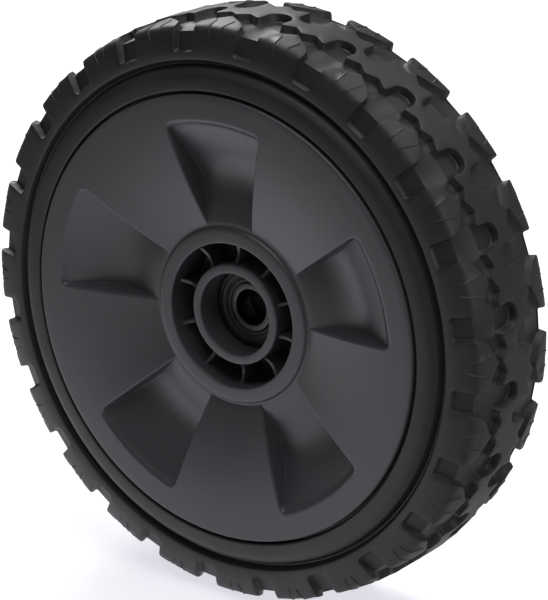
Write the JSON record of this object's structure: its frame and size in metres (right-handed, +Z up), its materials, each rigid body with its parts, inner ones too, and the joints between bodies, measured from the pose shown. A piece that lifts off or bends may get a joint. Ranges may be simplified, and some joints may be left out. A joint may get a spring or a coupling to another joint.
{
  "type": "lawn mower wheel",
  "caption": "Lawn mower wheel: dished plastic rim with scooped pockets, rubber tyre with a block tread, and sealed ball bearings on a plain axle bore.",
  "frame": {"origin": "on the axle's line, at the middle of the wheel's width", "axes": "+Y along the axle towards the machine, so the face that shows looks along -Y; +Z up"},
  "size_m": [0.2, 0.05, 0.2],
  "materials": {
    "rim_plastic": "satin dark grey moulded polypropylene",
    "tyre_rubber": "black moulded rubber, slightly satin",
    "bearing_steel": "ground bearing steel",
    "ball_steel": "polished balls",
    "cage_plastic": "natural nylon",
    "seal_rubber": "black seal rubber",
    "spacer_steel": "zinc plated tube"
  },
  "bodies": {
    "axle_core": {"front_bearing_inner_ring": "bearing_steel", "rear_bearing_inner_ring": "bearing_steel", "axle_spacer": "spacer_steel"},
    "wheel": {"rim": "rim_plastic", "tyre": "tyre_rubber", "front_bearing_outer_ring": "bearing_steel", "front_bearing_outside_seal": "seal_rubber", "front_bearing_inside_seal": "seal_rubber", "rear_bearing_outer_ring": "bearing_steel", "rear_bearing_outside_seal": "seal_rubber", "rear_bearing_inside_seal": "seal_rubber"},
    "front_ball_set": {"front_bearing_balls": "ball_steel", "front_bearing_cage": "cage_plastic"},
    "rear_ball_set": {"rear_bearing_balls": "ball_steel", "rear_bearing_cage": "cage_plastic"}
  },
  "joints": [
    {"name": "wheel_spin", "type": "hinge", "parent": "axle_core", "child": "wheel", "pos_m": [0, 0, 0], "axis": [0, 1, 0], "continuous": true},
    {"name": "front_ball_set_spin", "type": "hinge", "parent": "axle_core", "child": "front_ball_set", "pos_m": [0, 0, 0], "axis": [0, 1, 0], "continuous": true},
    {"name": "rear_ball_set_spin", "type": "hinge", "parent": "axle_core", "child": "rear_ball_set", "pos_m": [0, 0, 0], "axis": [0, 1, 0], "continuous": true}
  ],
  "couplings": [
    {"joint": "front_ball_set_spin", "follows": "wheel_spin", "ratio": 0.619},
    {"joint": "rear_ball_set_spin", "follows": "wheel_spin", "ratio": 0.619}
  ]
}
